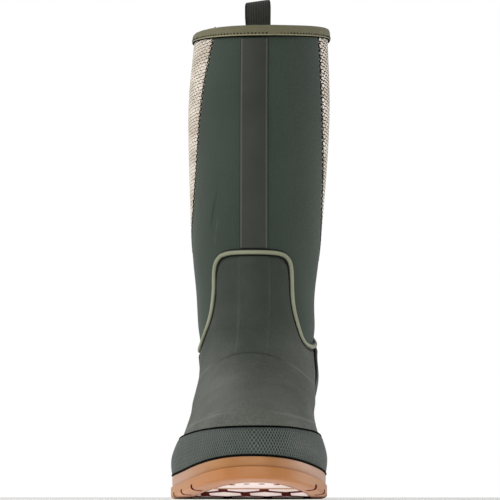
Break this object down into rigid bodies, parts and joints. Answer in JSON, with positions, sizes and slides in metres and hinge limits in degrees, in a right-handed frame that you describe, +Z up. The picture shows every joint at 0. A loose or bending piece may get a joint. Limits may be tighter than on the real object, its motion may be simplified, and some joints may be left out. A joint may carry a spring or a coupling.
{
  "type": "insulated hunting boot",
  "caption": "Tall insulated pull-on boot with a neoprene shaft, knit side panels, a piped rubber foot shell, a gum rubber sole and a pull loop.",
  "frame": {"origin": "under the middle of the boot's bounding box, on the ground", "axes": "+Z up the shaft, -Y towards the toe, +X towards the big toe's side of a right foot"},
  "size_m": [0.1145, 0.3013, 0.4113],
  "materials": {
    "gum_rubber": "satin",
    "pale_rubber": "satin",
    "sole_foam": "matte",
    "spring_steel": "brushed",
    "fibre_board": "matte",
    "footbed_foam": "matte",
    "footbed_cloth": "matte",
    "black_neoprene": "matte",
    "green_neoprene": "matte",
    "patterned_knit": "matte",
    "lining_fleece": "matte",
    "stiffener": "matte",
    "olive_rubber": "satin",
    "green_rubber": "satin",
    "sage_rubber": "satin",
    "olive_binding": "matte",
    "black_webbing": "matte"
  },
  "bodies": {
    "boot": {"outsole": "gum_rubber", "toe_tread": "pale_rubber", "forefoot_tread": "pale_rubber", "heel_tread": "pale_rubber", "midsole_band": "gum_rubber", "midsole_core": "sole_foam", "shank": "spring_steel", "insole_board": "fibre_board", "footbed": "footbed_foam", "footbed_cover": "footbed_cloth", "foot_bootie": "black_neoprene", "front_panel": "green_neoprene", "inner_side_panel": "patterned_knit", "outer_side_panel": "patterned_knit", "lining": "lining_fleece", "toe_puff": "stiffener", "heel_stiffener": "stiffener", "vamp_shell": "olive_rubber", "heel_shell": "olive_rubber", "toe_bumper": "green_rubber", "heel_bumper": "green_rubber", "shin_strip": "olive_rubber", "back_strip": "olive_rubber", "piping": "sage_rubber", "collar_binding": "olive_binding", "pull_loop_tail": "black_webbing"},
    "loop": {"pull_loop": "black_webbing"}
  },
  "joints": [
    {"name": "pull_loop_bend", "type": "hinge", "parent": "boot", "child": "loop", "pos_m": [-0.004, 0.1281, 0.3803], "axis": [1, 0, 0], "range_deg": [-60, 85], "stiffness_Nm_per_rad": 0.02}
  ]
}
